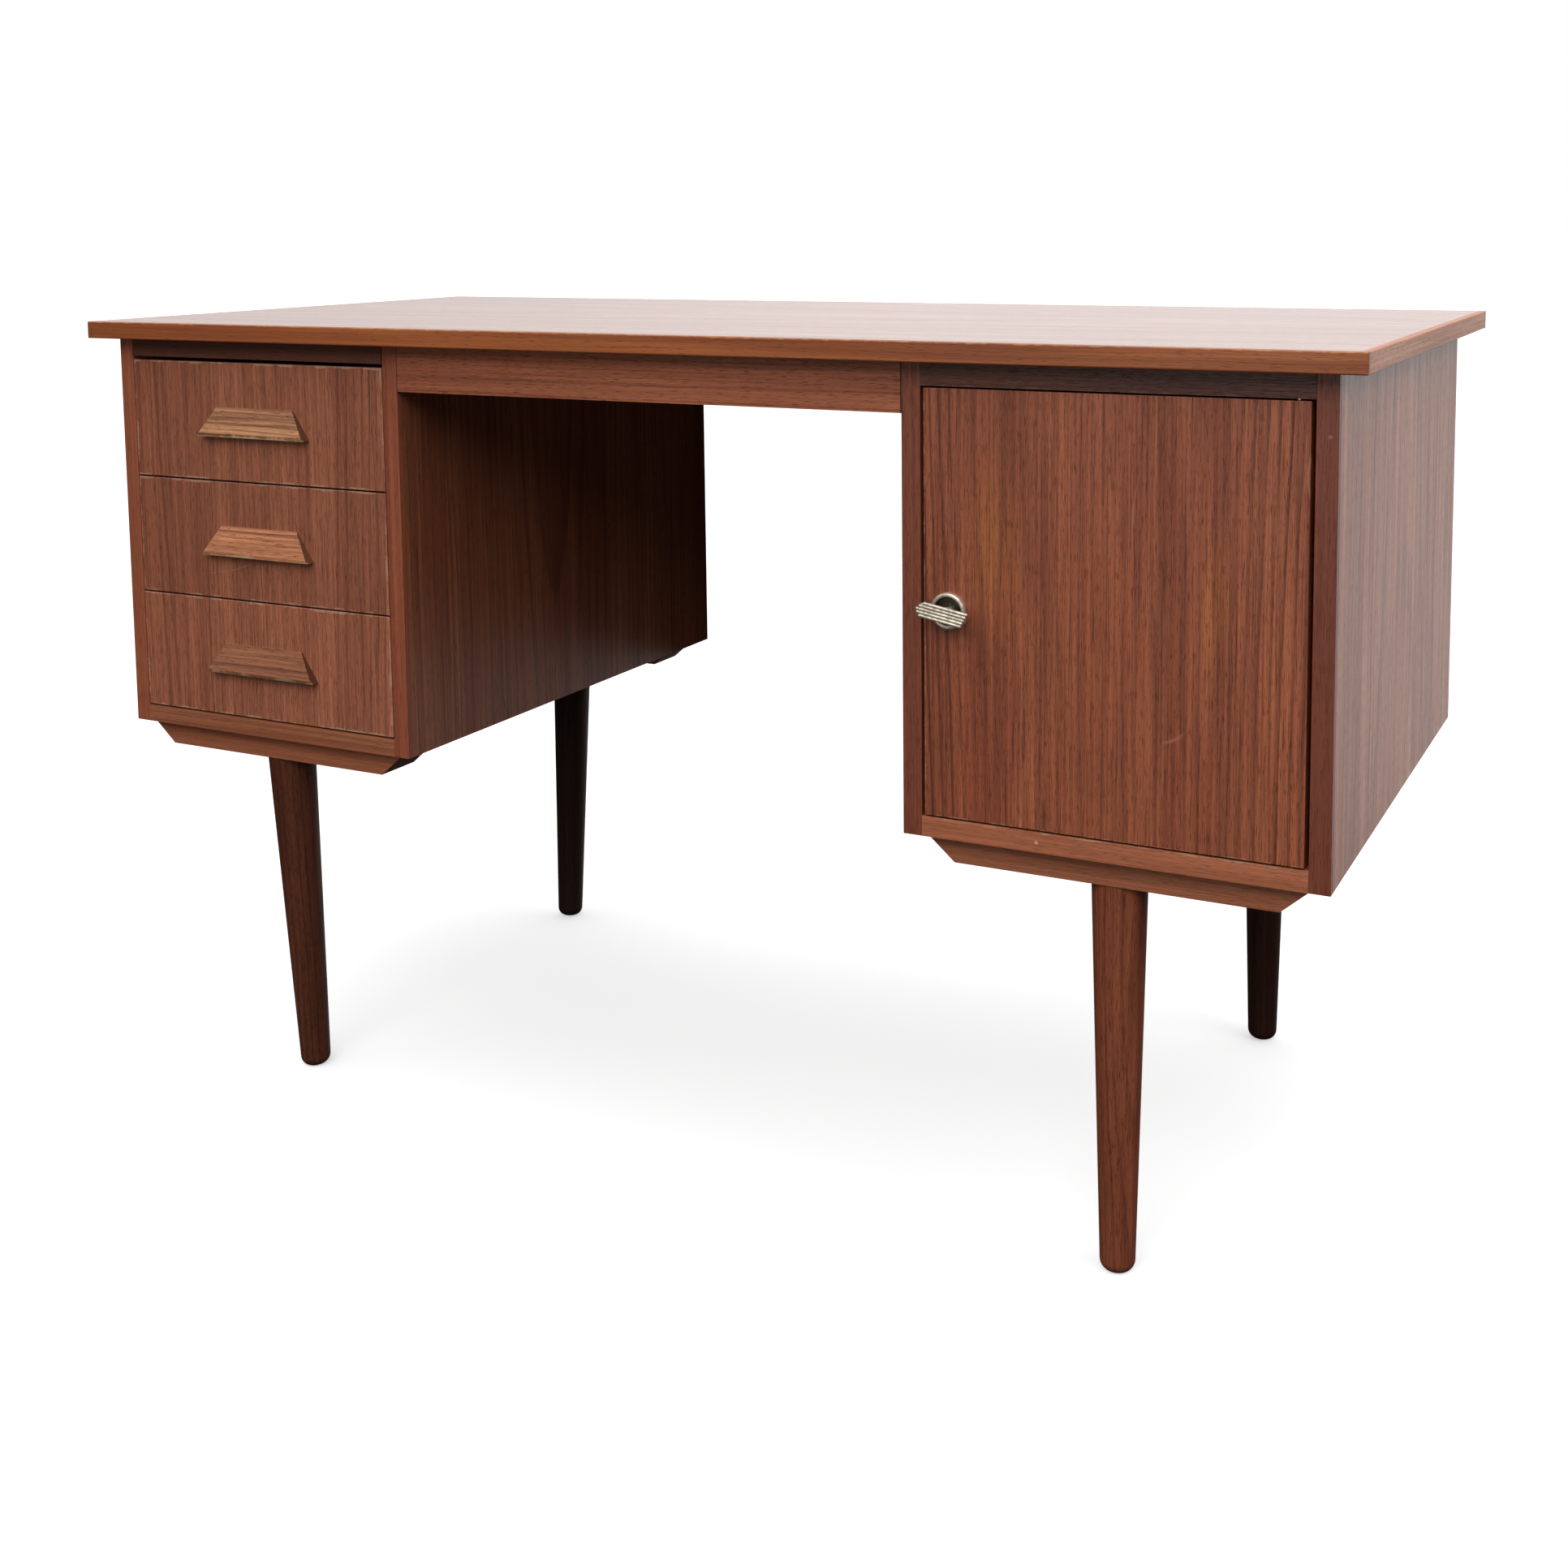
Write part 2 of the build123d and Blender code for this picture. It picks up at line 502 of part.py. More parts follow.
def lock_screw(x, z):
    head_y = BEHIND_FRONTS + LOCK_CASE_WALL
    shank = rod_along_y(x, z, LOCK_SCREW_DIAMETER, BEHIND_FRONTS - LOCK_SCREW_IN_DOOR, head_y)
    return shank + rod_along_y(x, z, LOCK_SCREW_HEAD, head_y, head_y + LOCK_SCREW_HEAD_HEIGHT)


def escutcheon():
    """Turned ring with a thin floor, bored for the plug."""
    ring = rod_along_y(LOCK_X, LOCK_Z, RING_DIAMETER, FRONT - RING_HEIGHT, FRONT)
    ring = fillet(ring.edges().group_by(Axis.Y)[0], EDGE_ROUND)
    ring -= rod_along_y(LOCK_X, LOCK_Z, RING_BORE, FRONT - RING_HEIGHT, FRONT - RING_FLOOR)
    bore = PLUG_DIAMETER + 2 * RUNNING_CLEARANCE
    return ring - rod_along_y(LOCK_X, LOCK_Z, bore, FRONT - RING_FLOOR, FRONT)


def key():
    """Shank and a long grooved bow set across it."""
    bow_y0 = FRONT - KEY_BOW_FRONT
    bow_y1 = bow_y0 + KEY_BOW_THICKNESS
    bow = extrude(Plane.XZ * SlotOverall(KEY_BOW_LENGTH, KEY_BOW_WIDTH), KEY_BOW_THICKNESS / 2,
                  both=True)
    pitch = KEY_BOW_WIDTH / (KEY_BOW_GROOVES + 1)
    for number in range(KEY_BOW_GROOVES):
        z = (number - (KEY_BOW_GROOVES - 1) / 2) * pitch
        cutter = Pos(0, -KEY_BOW_THICKNESS / 2, z) * Rot(45, 0, 0)
        bow -= cutter * Box(KEY_BOW_LENGTH, math.sqrt(2) * KEY_BOW_GROOVE_DEPTH,
                            math.sqrt(2) * KEY_BOW_GROOVE_DEPTH)
    shank = rod_along_y(0, 0, KEY_SHANK_DIAMETER, bow_y1, FRONT + KEY_SHANK_IN_PLUG)
    bow = Pos(0, (bow_y0 + bow_y1) / 2, 0) * bow
    return Pos(LOCK_X, 0, LOCK_Z) * Rot(0, KEY_TILT, 0) * (bow + shank)


def lock_plug():
    """Plug through the door, bored for the key, with the pin that drives the bolt."""
    plug = rod_along_y(LOCK_X, LOCK_Z, PLUG_DIAMETER, FRONT - RING_FLOOR, PLUG_END_Y)
    keyhole_diameter = KEY_SHANK_DIAMETER + 2 * RUNNING_CLEARANCE
    plug -= rod_along_y(LOCK_X, LOCK_Z, keyhole_diameter, FRONT - RING_FLOOR,
                        FRONT + KEY_SHANK_IN_PLUG)
    offset = CAM_RADIUS * math.sin(math.pi / 4)
    pin_end = BOLT_MIDDLE_Y + BOLT_THICKNESS / 2
    return plug + rod_along_y(LOCK_X + offset, LOCK_Z + offset, CAM_PIN_DIAMETER,
                              PLUG_END_Y, pin_end)


def lock_bolt():
    """Tongue and plate; the plug's pin slides in the plate's upright slot."""
    y0, y1 = BOLT_MIDDLE_Y - BOLT_THICKNESS / 2, BOLT_MIDDLE_Y + BOLT_THICKNESS / 2
    half_tongue, half_plate = BOLT_TONGUE_HEIGHT / 2, BOLT_PLATE_HEIGHT / 2
    plate_x = CASE_LEFT + BOLT_TONGUE_LENGTH
    tongue = block(CASE_LEFT, plate_x, y0, y1, LOCK_Z - half_tongue, LOCK_Z + half_tongue)
    plate = block(plate_x, plate_x + BOLT_PLATE_LENGTH, y0, y1,
                  LOCK_Z - half_plate, LOCK_Z + half_plate)
    slot_x = LOCK_X + CAM_RADIUS * math.sin(math.pi / 4)
    half_slot = CAM_PIN_DIAMETER / 2 + CAM_SLOT_CLEARANCE
    slot_low = CAM_RADIUS * math.cos(math.pi / 4) - half_slot
    slot_high = CAM_RADIUS + half_slot
    return tongue + plate - block(slot_x - half_slot, slot_x + half_slot, y0, y1,
                                  LOCK_Z + slot_low, LOCK_Z + slot_high)


def door():
    panel = block(DOOR_LEFT, DOOR_RIGHT, FRONT, BEHIND_FRONTS, DOOR_BOTTOM, DOOR_TOP)
    panel = fillet(panel.edges().group_by(Axis.Y)[0], EDGE_ROUND)
    panel -= rod_along_y(LOCK_X, LOCK_Z, PLUG_DOOR_HOLE, FRONT, BEHIND_FRONTS)
    pins = hinge_pins()
    for pin in pins:
        panel -= pin
    write("door_panel", panel)
    write("hinge_pins", pins)
    bore = HINGE_PIN_DIAMETER + 2 * RUNNING_CLEARANCE
    hollow = rod_along_z(HINGE_X, HINGE_Y, bore, FLOOR_OF_PEDESTAL, UNDER_TOP)
    write("hinge_bushes", [bush - hollow for bush in hinge_bush_blanks()])
    write("lock_case", lock_case())
    write("lock_screws", [lock_screw(x, z) for x, z in lock_screw_places()])
    write("escutcheon", escutcheon())
    write("lock_plug", lock_plug())
    write("key", key())
    write("lock_bolt", lock_bolt())


os.makedirs("parts", exist_ok=True)
desktop()
casings()
cupboard_fittings()
supports()
drawers()
door()
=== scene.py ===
import bmesh
import bpy
import math
from mathutils import Matrix, Vector


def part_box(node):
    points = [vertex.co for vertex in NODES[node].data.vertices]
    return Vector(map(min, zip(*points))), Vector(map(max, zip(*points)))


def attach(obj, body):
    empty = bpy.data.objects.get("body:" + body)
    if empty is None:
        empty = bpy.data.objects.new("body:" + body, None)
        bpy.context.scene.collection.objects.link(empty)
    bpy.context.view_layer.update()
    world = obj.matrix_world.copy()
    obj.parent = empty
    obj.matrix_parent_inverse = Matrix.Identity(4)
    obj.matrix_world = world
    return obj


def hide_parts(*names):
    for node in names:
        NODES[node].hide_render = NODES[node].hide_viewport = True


# Looks for the kneehole desk: teak veneers and solid teak, nickel lock, soft studio light.
# Metres, +Z up, X along the desk, -Y towards the sitter.

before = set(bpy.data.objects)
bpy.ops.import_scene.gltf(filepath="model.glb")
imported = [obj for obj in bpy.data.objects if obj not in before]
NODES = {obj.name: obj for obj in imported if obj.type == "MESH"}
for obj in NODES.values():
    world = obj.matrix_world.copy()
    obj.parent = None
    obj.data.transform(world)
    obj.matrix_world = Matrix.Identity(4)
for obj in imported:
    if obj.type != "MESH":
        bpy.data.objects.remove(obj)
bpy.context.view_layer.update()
X, Y, Z = 0, 1, 2
AXIS_NAMES = "xyz"

# ---- camera -------------------------------------------------------------------------------
EYE = Vector((0.8456, -1.5748, 0.8209))
YAW, PITCH, ROLL = 0.4562, -0.1036, -0.0083     # radians
SENSOR, LENS = 36.0, 43.3                       # millimetres
SHIFT_X, SHIFT_Y = -0.0434, -0.2379             # shares of the picture's width
NEAR_CLIP, FAR_CLIP = 0.01, 200.0


def make_camera():
    """Pinhole camera at the picture's viewing angle."""
    level = Vector((math.cos(YAW), math.sin(YAW), 0.0))
    ahead = Vector((-math.sin(YAW) * math.cos(PITCH), math.cos(YAW) * math.cos(PITCH),
                    math.sin(PITCH)))
    above = level.cross(ahead)
    right = level * math.cos(ROLL) + above * math.sin(ROLL)
    up = above * math.cos(ROLL) - level * math.sin(ROLL)
    data = bpy.data.cameras.new("camera")
    data.sensor_width, data.lens = SENSOR, LENS
    data.shift_x, data.shift_y = SHIFT_X, SHIFT_Y
    data.clip_start, data.clip_end = NEAR_CLIP, FAR_CLIP
    camera = bpy.data.objects.new("camera", data)
    turn = Matrix((right, up, -ahead)).transposed()
    camera.matrix_world = Matrix.Translation(EYE) @ turn.to_4x4()
    bpy.context.scene.collection.objects.link(camera)
    bpy.context.scene.camera = camera


# ---- node helper --------------------------------------------------------------------------
class Shader:
    """A node tree being written, with a short word for each kind of node."""

    def __init__(self, tree):
        self.tree = tree
        tree.nodes.clear()

    def add(self, kind, inputs=None, **settings):
        node = self.tree.nodes.new(kind)
        for key, value in settings.items():
            setattr(node, key, value)
        for key, value in (inputs or {}).items():
            self.feed(node.inputs[key], value)
        return node

    def feed(self, socket, value):
        if isinstance(value, bpy.types.NodeSocket):
            self.tree.links.new(value, socket)
        elif socket.type == "RGBA" and len(value) == 3:
            socket.default_value = (*value, 1.0)
        else:
            socket.default_value = value

    def math(self, operation, *values):
        return self.add("ShaderNodeMath", dict(enumerate(values)), operation=operation).outputs[0]

    def plus(self, first, second):
        return self.math("ADD", first, second)

    def minus(self, first, second):
        return self.math("SUBTRACT", first, second)

    def times(self, first, second):
        return self.math("MULTIPLY", first, second)

    def step(self, value, low, high, out_low=0.0, out_high=1.0):
        """Smooth step from out_low at low to out_high at high."""
        return self.add("ShaderNodeMapRange", {0: value, 1: low, 2: high, 3: out_low, 4: out_high},
                        interpolation_type="SMOOTHSTEP").outputs[0]

    def mix(self, factor, first, second):
        node = self.add("ShaderNodeMix", data_type="RGBA")
        for socket, value in ((0, factor), (6, first), (7, second)):
            self.feed(node.inputs[socket], value)
        return node.outputs[2]

    def scaled(self, vector, scale, shift=(0.0, 0.0, 0.0)):
        return self.add("ShaderNodeVectorMath", {0: vector, 1: scale, 2: shift},
                        operation="MULTIPLY_ADD").outputs[0]

    def distance(self, vector, point=(0.0, 0.0, 0.0)):
        return self.add("ShaderNodeVectorMath", {0: vector, 1: point},
                        operation="DISTANCE").outputs["Value"]

    def noise(self, vector, scale, detail=2.0, roughness=0.5, shift=(0.0, 0.0, 0.0)):
        """Noise, 0 to 1 about a half, with its own scale on each axis."""
        return self.add("ShaderNodeTexNoise",
                        {"Vector": self.scaled(vector, scale, shift), "Scale": 1.0,
                         "Detail": detail, "Roughness": roughness}).outputs[0]


def new_material(name):
    material = bpy.data.materials.new(name)
    material.use_nodes = True
    return material, Shader(material.node_tree)


def finish_material(s, colour, roughness, height, depth, **sockets):
    """Principled surface with a bump of that depth in metres."""
    bump = s.add("ShaderNodeBump", {"Height": height, "Strength": 1.0, "Distance": depth})
    surface = s.add("ShaderNodeBsdfPrincipled",
                    {"Base Color": colour, "Roughness": roughness, "Normal": bump.outputs[0]})
    for key, value in sockets.items():
        s.feed(surface.inputs[key.replace("_", " ")], value)
    s.add("ShaderNodeOutputMaterial", {"Surface": surface.outputs[0]})


# ---- wood ---------------------------------------------------------------------------------
TEAK_LIGHT = (0.66, 0.232, 0.104)
TEAK_MID = (0.50, 0.150, 0.068)
TEAK_DARK = (0.13, 0.034, 0.017)

# Tints on the wood's own light, middle or dark colour
MAROON = (0.66, 0.50, 0.52)
GOLDEN = (1.18, 1.22, 0.8)
PALE_MARK_TINT = (1.05, 1.7, 2.3)
PALEST = 0.9
PORE_TINT, DASH_TINT, END_TINT, SEAM_TINT = ((share,) * 3 for share in (0.45, 0.7, 0.6, 0.3))

# Noises along the grain: waves per metre across it and along it, detail, roughness, and an
# offset that keeps one noise apart from the next
SWAY_NOISE = (5.0, 1.8, 2.0, 0.5, 0.0)
TREMOR_NOISE = (45.0, 3.0, 2.0, 0.5, 9.0)
RAGGED_NOISE = (30.0, 6.0, 3.0, 0.5, 7.0)

# The same, each with the two values between which it sets in
BREAKS = (30.0, 3.0, 3.0, 0.6, 4.0), (0.38, 0.6)
BANDS = (17.0, 1.1, 3.0, 0.6, 2.0), (0.3, 0.7)
MAROON_BANDS = (34.0, 1.0, 2.0, 0.6, 11.0), (0.52, 0.68)
BROAD_FIBRES = (110.0, 1.6, 3.0, 0.6, 1.0), (0.36, 0.64)
STREAKS = (360.0, 3.5, 3.0, 0.65, 3.0), (0.36, 0.64)
FINE_FIBRES = (950.0, 12.0, 2.0, 0.6, 5.0), (0.36, 0.64)
PORES = (1900.0, 90.0, 1.0, 0.5, 8.0), (0.60, 0.68)
DASHES = (520.0, 14.0, 2.0, 0.6, 13.0), (0.58, 0.68)

SEED_STEPS = (3.7, 1.3, 5.1)
PITH_SLOPE = 0.02                   # the pith sinks this much per metre of board
TREMOR = 0.0022                     # unevenness of the rings, in metres
LATE_WOOD = (0.5, 0.92)             # part of a ring over which it darkens
NEXT_SPRING = (1.0, 0.94)           # and over which it turns light again
BREAK_SHARE, SEASON_SHARE = 0.5, 0.6
CALM_EDGE, CALM_LINES = (-0.02, 0.015), 0.22
MAROON_SHARE = 0.55
BLOTCH_RAGGEDNESS, BLOTCH_FADE, BLOTCH_STRENGTH = 0.9, (1.9, 0.3), 0.9
BROAD_SHARE, STREAK_SHARE, FINE_SHARE = 0.28, 0.45, 0.27
END_FACING = (0.35, 0.6)            # how far a surface faces along the grain
PORE_DEPTH, LINE_DEPTH = 0.9, 0.3   # shares of the relief
RELIEF = 0.00014
FIBRE_GLOSS, GLOSS_SPREAD = -0.10, 0.05
COAT_ROUGHNESS = 0.3

CHIP_SCALE, CHIPPED = 55.0, (0.42, 0.62)
RAGGED_WEAR, EVEN_WEAR = 0.8, 0.2   # shares of an edge's worn width
CHIPPED_PALE, SMOOTH_PALE = 0.35, 0.15
WEAR_FADE = (0.003, 0.001)          # behind the front face
SEAM_FADE, SEAM_STRENGTH = (0.0011, 0.0005), 0.9
SCRATCH_SCALE, SCRATCH_WIDTH = 6.0, (0.004, 0.0)
SCRATCHED_SCALE, SCRATCHED = 14.0, (0.56, 0.66)
NAIL_HOLE = (0.0018, 0.0010)


def toned(colour, tint):
    return tuple(c * t for c, t in zip(colour, tint))


def aged(s, colour, place, xyz, shift, light, dark, worn=(), wear=0.0014, face=None, seams=(),
         scuffs=0.0, dot=None):
    """The colour with rubbed edges, joint lines, hairline scratches and a filled nail hole.

    worn lists (axis, place) of edges painted pale over a width of wear, close to the face at
    that Y: wear from rubbing, and on one edge a painted highlight. seams lists those with a dark
    joint line. scuffs is the strength of the scratches and dot the nail hole's place.
    """
    pale = tuple(min(c, PALEST) for c in toned(light, PALE_MARK_TINT))

    def nearest_of(edges):
        gaps = [s.math("ABSOLUTE", s.minus(xyz[axis], spot)) for axis, spot in edges]
        nearest = gaps[0]
        for gap in gaps[1:]:
            nearest = s.math("MINIMUM", nearest, gap)
        return nearest

    if worn:
        nearest = nearest_of(worn)
        chipped = s.step(s.noise(place, (CHIP_SCALE,) * 3, 4.0, 0.7, shift), *CHIPPED)
        reach = s.math("MULTIPLY_ADD", chipped, RAGGED_WEAR * wear, EVEN_WEAR * wear)
        worn_and_highlit = s.times(s.math("LESS_THAN", nearest, reach),
                         s.math("MULTIPLY_ADD", chipped, CHIPPED_PALE, SMOOTH_PALE))
        behind = s.minus(xyz[Y], face)
        colour = s.mix(s.times(worn_and_highlit, s.step(behind, *WEAR_FADE)), colour, pale)
    if seams:
        seam = s.step(nearest_of(seams), *SEAM_FADE)
        colour = s.mix(s.times(seam, SEAM_STRENGTH), colour, toned(dark, SEAM_TINT))
    if scuffs:
        wandering = s.noise(place, (SCRATCH_SCALE,) * 3, 0.0, 0.5, shift)
        contour = s.math("ABSOLUTE", s.minus(wandering, 0.5))
        patchy = s.step(s.noise(place, (SCRATCHED_SCALE,) * 3, 2.0, 0.5, shift), *SCRATCHED)
        hairline = s.times(s.step(contour, *SCRATCH_WIDTH), patchy)
        colour = s.mix(s.times(hairline, scuffs), colour, pale)
    if dot:
        colour = s.mix(s.step(s.distance(place, dot), *NAIL_HOLE), colour, pale)
    return colour


def wood(name, grain, across, light, mid, dark, seed, ring=0.0055, centre=0.0, pith=0.06,
         lines=0.7, fibre=0.62, flecks=0.6, bands=1.0, sway=0.012, calm=0.0, rough=0.44,
         specular=0.5, coat=0.0, fineness=1.0, ends=0.3, dashes=0.0, blotches=(), paler=None,
         **ageing):
    """Sliced or solid wood: rings cut at a slope, fibres, pores and slow colour bands.

    grain and across are axis numbers. ring is a year's width, pith how deep the middle of the
    tree lies, centre where across the board the arches stand, sway how far they wander, and
    calm how far from the centre the lines stay faint. lines, fibre, flecks (pores), bands, ends
    (dark end grain) and dashes (short dark pores) are strengths. blotches are (centre, reach)
    of golden patches. paler is (place, tint): the boards before that place across are lighter
    by that tint. The rest goes to aged.
    """
    material, s = new_material(name)
    place = s.add("ShaderNodeTexCoord").outputs["Object"]
    xyz = s.add("ShaderNodeSeparateXYZ", {0: place}).outputs
    deep = X + Y + Z - grain - across
    board = s.add("ShaderNodeCombineXYZ", {0: xyz[across], 1: xyz[deep], 2: xyz[grain]}).outputs[0]
    shift = tuple(seed * step for step in SEED_STEPS)

    def grainy(noise, fineness=1.0):
        wide, long, detail, roughness, offset = noise
        moved = tuple(value + offset for value in shift)
        return s.noise(board, (wide * fineness, wide * fineness, long), detail, roughness, moved)

    def layer(noise_and_limits, fineness=1.0):
        noise, limits = noise_and_limits
        return s.step(grainy(noise, fineness), *limits)

    # Year rings round a pith that lies below the board
    swayed = s.times(s.minus(grainy(SWAY_NOISE), 0.5), sway * 2.0)
    tremor = s.times(s.minus(grainy(TREMOR_NOISE), 0.5), TREMOR)
    off_centre = s.plus(s.minus(xyz[across], centre), swayed)
    from_pith = s.plus(s.math("MULTIPLY_ADD", xyz[grain], PITH_SLOPE, pith), xyz[deep])
    radius = s.math("SQRT", s.plus(s.math("POWER", off_centre, 2.0),
                                   s.math("POWER", from_pith, 2.0)))
    years = s.math("DIVIDE", s.plus(radius, tremor), ring)
    phase = s.math("FRACT", years)
    late = s.times(s.step(phase, *LATE_WOOD), s.step(phase, *NEXT_SPRING))
    season = s.add("ShaderNodeTexWhiteNoise", {"W": s.math("FLOOR", years)},
                   noise_dimensions="1D").outputs["Value"]
    strength = s.math("MULTIPLY_ADD", layer(BREAKS), BREAK_SHARE, s.times(season, SEASON_SHARE))
    line = s.times(late, strength)
    if calm:
        edge_low, edge_high = (calm + extra for extra in CALM_EDGE)
        outside = s.step(s.math("ABSOLUTE", off_centre), edge_low, edge_high, CALM_LINES, 1.0)
        line = s.times(line, outside)

    # Slow changes of colour
    colour = s.mix(s.math("MULTIPLY_ADD", layer(BANDS), bands, 0.5 - bands / 2), mid, light)
    colour = s.mix(s.times(layer(MAROON_BANDS), MAROON_SHARE * bands), colour,
                   toned(mid, MAROON))
    if blotches:
        glow = None
        for spot, reach in blotches:
            away = s.distance(s.scaled(place, tuple(1 / r for r in reach),
                                       tuple(-c / r for c, r in zip(spot, reach))))
            ragged = s.plus(away, s.times(grainy(RAGGED_NOISE), BLOTCH_RAGGEDNESS))
            patch = s.step(ragged, *BLOTCH_FADE)
            glow = patch if glow is None else s.math("MAXIMUM", glow, patch)
        colour = s.mix(s.times(glow, BLOTCH_STRENGTH), colour, toned(light, GOLDEN))

    # Fibres, ring lines and pores
    fibres = s.math("MULTIPLY_ADD", layer(BROAD_FIBRES, fineness), BROAD_SHARE,
                    s.math("MULTIPLY_ADD", layer(FINE_FIBRES, fineness), FINE_SHARE,
                           s.times(layer(STREAKS, fineness), STREAK_SHARE)))
    pore = layer(PORES, fineness)
    colour = s.mix(s.times(s.minus(1.0, fibres), fibre), colour, dark)
    colour = s.mix(s.times(line, lines), colour, dark)
    colour = s.mix(s.times(pore, flecks), colour, toned(dark, PORE_TINT))
    if dashes:
        colour = s.mix(s.times(layer(DASHES, fineness), dashes), colour, toned(dark, DASH_TINT))
    if paler:
        limit, tint = paler
        colour = s.mix(s.math("LESS_THAN", xyz[across], limit), colour, s.scaled(colour, tint))

    # End grain; strong on the pulls, where it also paints shade on their ends
    facing = s.add("ShaderNodeSeparateXYZ", {0: s.add("ShaderNodeTexCoord").outputs["Normal"]})
    end_grain_and_shade = s.step(s.math("ABSOLUTE", facing.outputs[grain]), *END_FACING)
    colour = s.mix(s.times(end_grain_and_shade, ends), colour, toned(dark, END_TINT))

    colour = aged(s, colour, place, xyz, shift, light, dark, **ageing)
    height = s.minus(s.minus(fibres, s.times(pore, PORE_DEPTH)), s.times(line, LINE_DEPTH))
    roughness = s.math("MULTIPLY_ADD", fibres, FIBRE_GLOSS, rough + GLOSS_SPREAD)
    finish_material(s, colour, roughness, height, RELIEF, Specular_IOR_Level=specular,
                    Coat_Weight=coat, Coat_Roughness=COAT_ROUGHNESS)
    return material


def teak(name, grain, across, seed, tone=1.0, warm=1.0, blue=1.0, **options):
    """Teak of a brightness (tone), with more or less green and blue (warm), and blue alone."""
    tint = (tone, tone * warm, tone * warm * blue)
    return wood(name, grain, across, toned(TEAK_LIGHT, tint), toned(TEAK_MID, tint),
                toned(TEAK_DARK, tint), seed, **options)


# ---- metal --------------------------------------------------------------------------------
NICKEL = dict(colour=(0.90, 0.80, 0.68), tarnish=(0.56, 0.50, 0.40), rough=0.34, metallic=0.75)
BORE_GRIME = (0.060, 0.056, 0.040)
BORE_RIM = 1.04                     # the grime ends this far out, as a share of the radius
TARNISH_SCALE, TARNISHED = 260.0, (0.42, 0.66)
RUB_SCALE = (900.0, 900.0, 4500.0)
TARNISH_ROUGHNESS, TARNISH_HEIGHT = 0.22, -0.5
SCRATCH_DEPTH = 0.00002


def metal(name, colour, tarnish, rough, metallic=1.0, bore=None):
    """Plated or drawn metal with dull blotches and fine rubbing marks.

    bore is the (centre, radius) of a hole along Y whose inside is grimy.
    """
    material, s = new_material(name)
    place = s.add("ShaderNodeTexCoord").outputs["Object"]
    blotch = s.step(s.noise(place, (TARNISH_SCALE,) * 3, 4.0, 0.6), *TARNISHED)
    rub = s.noise(place, RUB_SCALE, 2.0, 0.6)
    mottled = s.mix(blotch, colour, tarnish)
    if bore:
        centre, radius = bore
        away = s.distance(s.scaled(place, (1.0, 0.0, 1.0), (-centre.x, 0.0, -centre.z)))
        inside = s.step(away, radius, radius * BORE_RIM, 1.0, 0.0)
        mottled = s.mix(inside, mottled, BORE_GRIME)
    finish_material(s, mottled, s.math("MULTIPLY_ADD", blotch, TARNISH_ROUGHNESS, rough),
                    s.math("MULTIPLY_ADD", blotch, TARNISH_HEIGHT, rub), SCRATCH_DEPTH,
                    Metallic=metallic)
    return material


# ---- a look for every node ----------------------------------------------------------------
PLAIN = dict(lines=0.15, fibre=0.45, flecks=0.3)

# Golden patches on the door: shares of its width and height, and reach in metres
DOOR_PATCHES = ((0.2, 0.64), (0.022, 0.5, 0.07)), ((0.78, 0.55), (0.010, 0.5, 0.05))
DOOR_ARCHES, DRAWER_ARCHES = -0.008, -0.012     # their middle, right of the front's middle
LEFT_STRIPS_LIFT_FROM_PAINTED_SHADE = (1.65, 1.8, 1.7)             # the strips' low tone is painted shade; left of the desk's middle they are lifted lighter
DESK_MIDDLE = 0.0

# Filled nail holes: from the right bottom's left end, and from the top right corner of the
# side panels' front strips
RAIL_HOLE_IN = 0.095
LIPPING_HOLE_IN, LIPPING_HOLE_DOWN = 0.006, 0.045

# Brightness of each drawer's front and pull, and the pull's warmth
DRAWER_TONES = ("upper", 0.98, 1.3, 1.35), ("middle", 0.93, 1.6, 1.25), ("lower", 1.08, 1.0, 1.2)
# Tone of each leg: both rear legs and the left front leg are toned dark, which is painted shade
LEG_TONES_WITH_PAINTED_SHADE = ("left_front", 0.30), ("left_rear", 0.07), ("right_front", 0.74), ("right_rear", 0.10)
BEECH = (0.62, 0.42, 0.25), (0.52, 0.34, 0.19), (0.30, 0.17, 0.08)
PLYWOOD = (0.66, 0.40, 0.22), (0.56, 0.32, 0.16), (0.30, 0.14, 0.06)


def edges(node, sides):
    """The named sides of a node's box, such as "x- x+", as (axis, place)."""
    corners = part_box(node)
    return [(AXIS_NAMES.index(name), corners[sign == "+"][AXIS_NAMES.index(name)])
            for name, sign in sides.split()]


def worn_and_highlit(node, sides):
    """The settings of a board whose named sides are painted pale at the front: wear, and on the
    right top rail's lower edge a painted highlight.
    """
    return {"worn": edges(node, sides), "face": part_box(node)[0].y}


def patches(node, places):
    """Blotches at shares of a node's width and height, on its front."""
    low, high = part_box(node)
    return [((low.x + right * (high.x - low.x), low.y, low.z + up * (high.z - low.z)), reach)
            for (right, up), reach in places]


